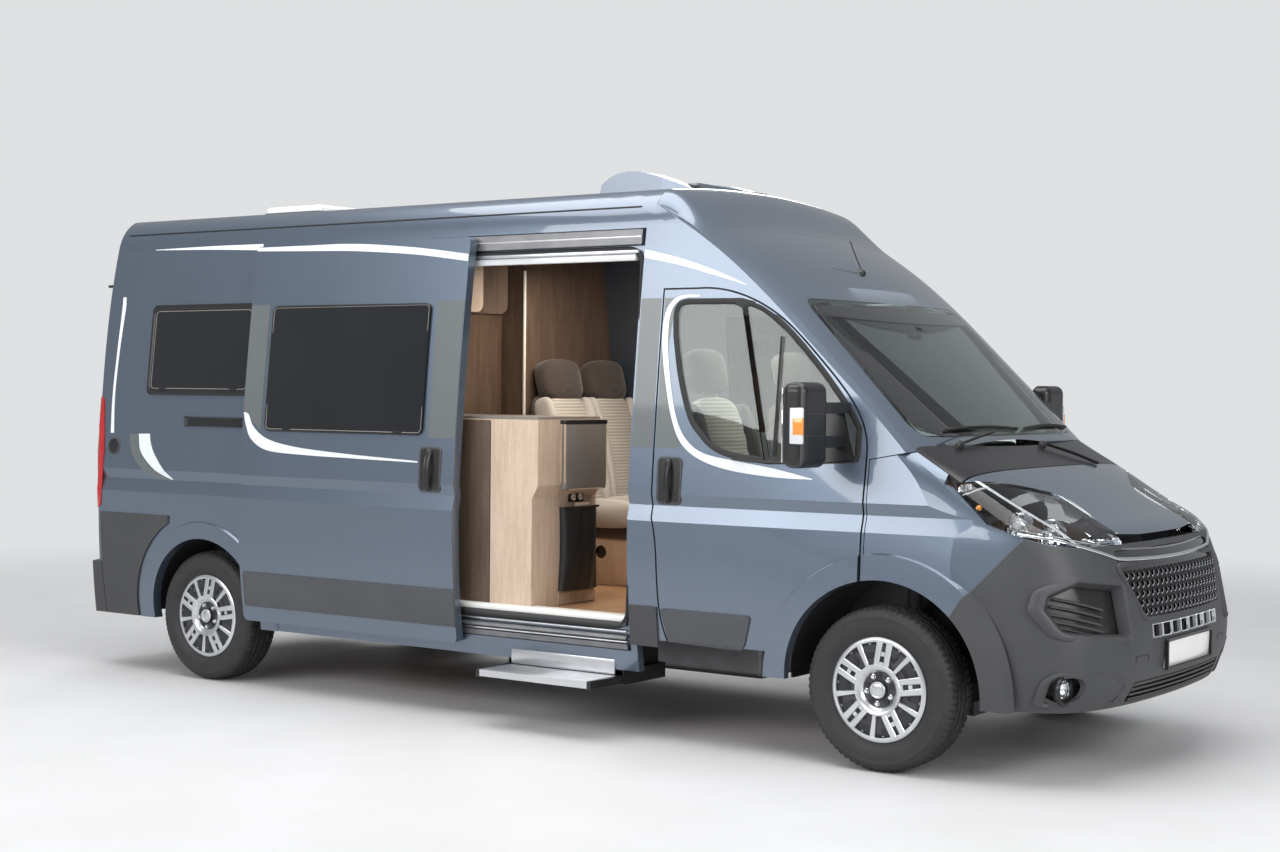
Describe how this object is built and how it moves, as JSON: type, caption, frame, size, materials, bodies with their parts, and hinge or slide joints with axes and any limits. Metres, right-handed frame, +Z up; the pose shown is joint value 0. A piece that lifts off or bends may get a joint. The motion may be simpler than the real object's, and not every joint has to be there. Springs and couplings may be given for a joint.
{
  "type": "camper van",
  "caption": "High-roofed panel van fitted out as a camper, with a wide sliding side door stored open, an entrance step, swinging doors, a bonnet and steered wheels that roll.",
  "frame": {"origin": "on the ground under the middle of the van, at the centre of the base of its bounding box", "axes": "+X forward, +Y to the van's left, +Z up"},
  "size_m": [6.0042, 2.636, 2.6194],
  "materials": {
    "body_paint": "metallic",
    "dark_plastic": "fine grain",
    "grille_black": "satin",
    "cab_glass": "green tint",
    "living_glass": "dark tint",
    "lamp_clear": "clear",
    "lamp_red": "gloss",
    "rubber_tyre": "matt",
    "wheel_silver": "satin",
    "steel": "dull",
    "cast": "rough",
    "plate_white": "blank",
    "floor_wood": "satin",
    "light_wood": "satin",
    "seat_cloth": "weave",
    "dash_plastic": "grain",
    "bag_black": "soft",
    "alu": "ribbed",
    "vent_white": "satin"
  },
  "bodies": {
    "body": {"roof": "body_paint", "side_wall_right": "body_paint", "side_wall_left": "body_paint", "front_wings": "body_paint", "sliding_door": "body_paint", "roof_frames": "body_paint", "rear_hinges": "dark_plastic", "cowl": "dark_plastic", "front_bumper": "dark_plastic", "rear_bumper": "dark_plastic", "side_covers": "dark_plastic", "wheel_liners": "dark_plastic", "grille": "grille_black", "windscreen": "cab_glass", "side_windows": "living_glass", "sliding_door_window": "living_glass", "headlamps": "lamp_clear", "tail_lamps": "lamp_red", "number_plate": "plate_white", "floor": "floor_wood", "chassis_rails": "steel", "front_axle": "cast", "rear_axle": "cast", "engine": "cast", "underfloor_units": "steel", "step_case": "dark_plastic", "door_rails": "steel", "dashboard": "dash_plastic", "steering_wheel": "dash_plastic", "cab_seats": "seat_cloth", "bench": "seat_cloth", "mattress": "seat_cloth", "kitchen": "light_wood", "furniture": "light_wood", "waste_bag": "bag_black"},
    "wheel_front_right": {"tyre_front_right": "rubber_tyre", "rim_front_right": "wheel_silver"},
    "wheel_front_left": {"tyre_front_left": "rubber_tyre", "rim_front_left": "wheel_silver"},
    "wheel_rear_right": {"tyre_rear_right": "rubber_tyre", "rim_rear_right": "wheel_silver"},
    "wheel_rear_left": {"tyre_rear_left": "rubber_tyre", "rim_rear_left": "wheel_silver"},
    "steering_right": {"knuckle_right": "cast"},
    "steering_left": {"knuckle_left": "cast"},
    "door_right": {"cab_door_right": "body_paint", "cab_glass_right": "cab_glass", "mirror_right": "dark_plastic"},
    "door_left": {"cab_door_left": "body_paint", "cab_glass_left": "cab_glass", "mirror_left": "dark_plastic"},
    "back_door_right": {"rear_door_right": "body_paint", "rear_glass_right": "living_glass"},
    "back_door_left": {"rear_door_left": "body_paint", "rear_glass_left": "living_glass"},
    "bonnet": {"bonnet": "body_paint"},
    "roof_light": {"hatch_lid": "living_glass"},
    "roof_vent": {"vent_lid": "vent_white"},
    "step": {"step_tread": "alu"}
  },
  "joints": [
    {"name": "steer_right", "type": "hinge", "parent": "body", "child": "steering_right", "pos_m": [2.051, -0.8, 0.341], "axis": [0, 0, 1], "range_deg": [-35, 35]},
    {"name": "steer_left", "type": "hinge", "parent": "body", "child": "steering_left", "pos_m": [2.051, 0.8, 0.341], "axis": [0, 0, 1], "range_deg": [-35, 35]},
    {"name": "spin_front_right", "type": "hinge", "parent": "steering_right", "child": "wheel_front_right", "pos_m": [2.051, -0.905, 0.341], "axis": [0, 1, 0], "continuous": true},
    {"name": "spin_front_left", "type": "hinge", "parent": "steering_left", "child": "wheel_front_left", "pos_m": [2.051, 0.905, 0.341], "axis": [0, 1, 0], "continuous": true},
    {"name": "spin_rear_right", "type": "hinge", "parent": "body", "child": "wheel_rear_right", "pos_m": [-1.984, -0.895, 0.341], "axis": [0, 1, 0], "continuous": true},
    {"name": "spin_rear_left", "type": "hinge", "parent": "body", "child": "wheel_rear_left", "pos_m": [-1.984, 0.895, 0.341], "axis": [0, 1, 0], "continuous": true},
    {"name": "cab_door_right_hinge", "type": "hinge", "parent": "body", "child": "door_right", "pos_m": [1.892, -1.012, 0.985], "axis": [0, 0.0349, 0.9994], "range_deg": [0, 70]},
    {"name": "cab_door_left_hinge", "type": "hinge", "parent": "body", "child": "door_left", "pos_m": [1.892, 1.012, 0.985], "axis": [0, -0.0349, 0.9994], "range_deg": [-70, 0]},
    {"name": "back_door_right_hinge", "type": "hinge", "parent": "body", "child": "back_door_right", "pos_m": [-2.951, -0.812, 1], "axis": [0.0314, 0, 0.9995], "range_deg": [0, 180]},
    {"name": "back_door_left_hinge", "type": "hinge", "parent": "body", "child": "back_door_left", "pos_m": [-2.951, 0.812, 1], "axis": [0.0314, 0, 0.9995], "range_deg": [-180, 0]},
    {"name": "bonnet_hinge", "type": "hinge", "parent": "body", "child": "bonnet", "pos_m": [2.29, 0, 1.345], "axis": [0, -1, 0], "range_deg": [0, 60]},
    {"name": "roof_light_hinge", "type": "hinge", "parent": "body", "child": "roof_light", "pos_m": [0.2463, 0, 2.552], "axis": [0, -1, 0], "range_deg": [0, 50]},
    {"name": "roof_vent_hinge", "type": "hinge", "parent": "body", "child": "roof_vent", "pos_m": [-1.935, 0, 2.555], "axis": [0, 1, 0], "range_deg": [0, 60]},
    {"name": "step_slide", "type": "slide", "parent": "body", "child": "step", "axis": [0, 1, 0], "range_m": [0, 0.23]}
  ],
  "couplings": [
    {"joint": "steer_right", "follows": "steer_left", "ratio": 1}
  ]
}
